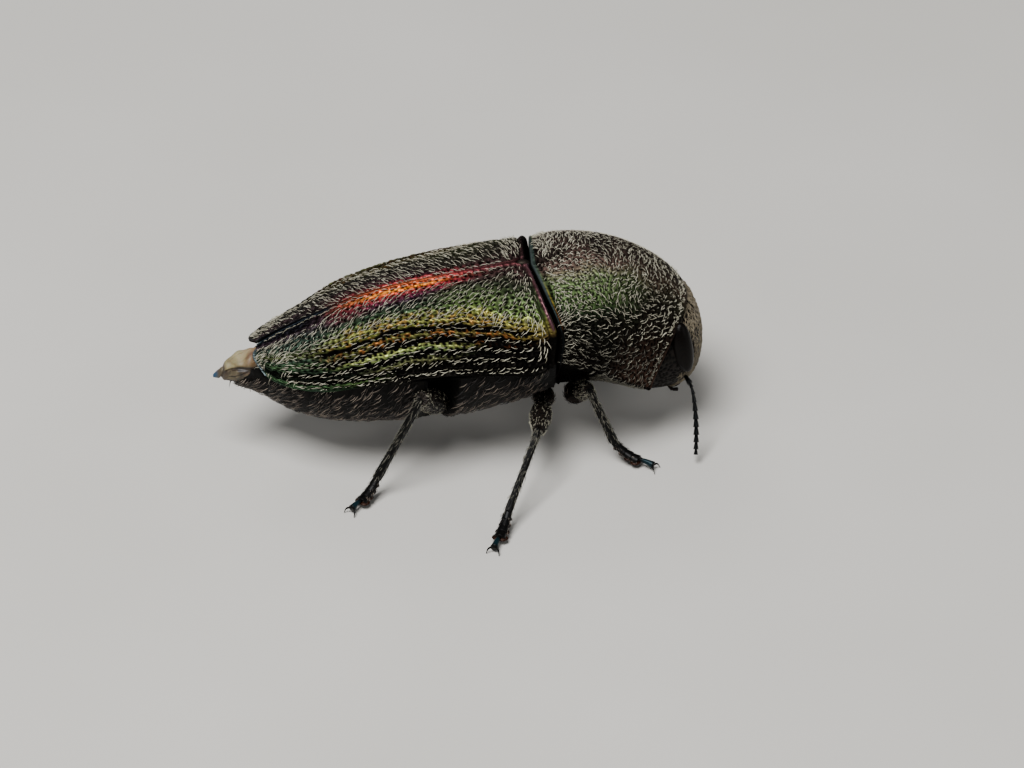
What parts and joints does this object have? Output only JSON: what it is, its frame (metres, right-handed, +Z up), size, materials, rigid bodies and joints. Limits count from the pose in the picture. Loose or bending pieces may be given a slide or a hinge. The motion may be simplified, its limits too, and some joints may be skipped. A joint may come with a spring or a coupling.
{
  "type": "jewel beetle",
  "caption": "Standing hairy jewel beetle with a hood-shaped prothorax, ribbed metallic green wing cases with a red stripe along the seam, and a pale tail tip.",
  "frame": {"origin": "on the floor under the middle of the beetle's length and width", "axes": "+X towards the head, +Y towards the beetle's left, +Z up"},
  "size_m": [0.016, 0.0148, 0.0066],
  "materials": {
    "cuticle_metallic": "metallic green cuticle with punctures, red beside the seam",
    "cuticle_dark": "dark bronze cuticle, punctured",
    "cuticle_black": "black cuticle, half gloss",
    "eye": "dark compound eye, glossy",
    "soft_cuticle": "cream soft cuticle, wrinkled",
    "setae": "fine pale hairs, soft"
  },
  "bodies": {
    "root": {"head": "cuticle_dark", "mouthparts": "cuticle_black", "eye_right": "eye", "eye_left": "eye", "antenna_right": "cuticle_black", "antenna_left": "cuticle_black", "prothorax": "cuticle_metallic", "scutellum": "cuticle_metallic", "elytron_right": "cuticle_metallic", "elytron_left": "cuticle_metallic", "thorax": "cuticle_dark", "abdomen": "cuticle_dark", "pygidium": "soft_cuticle", "coxa_front_right": "cuticle_dark", "femur_front_right": "cuticle_dark", "tibia_front_right": "cuticle_black", "tarsus_front_right": "cuticle_black", "coxa_front_left": "cuticle_dark", "femur_front_left": "cuticle_dark", "tibia_front_left": "cuticle_black", "tarsus_front_left": "cuticle_black", "coxa_middle_right": "cuticle_dark", "femur_middle_right": "cuticle_dark", "tibia_middle_right": "cuticle_black", "tarsus_middle_right": "cuticle_black", "coxa_middle_left": "cuticle_dark", "femur_middle_left": "cuticle_dark", "tibia_middle_left": "cuticle_black", "tarsus_middle_left": "cuticle_black", "coxa_hind_right": "cuticle_dark", "femur_hind_right": "cuticle_dark", "tibia_hind_right": "cuticle_black", "tarsus_hind_right": "cuticle_black", "coxa_hind_left": "cuticle_dark", "femur_hind_left": "cuticle_dark", "tibia_hind_left": "cuticle_black", "tarsus_hind_left": "cuticle_black"}
  },
  "joints": []
}
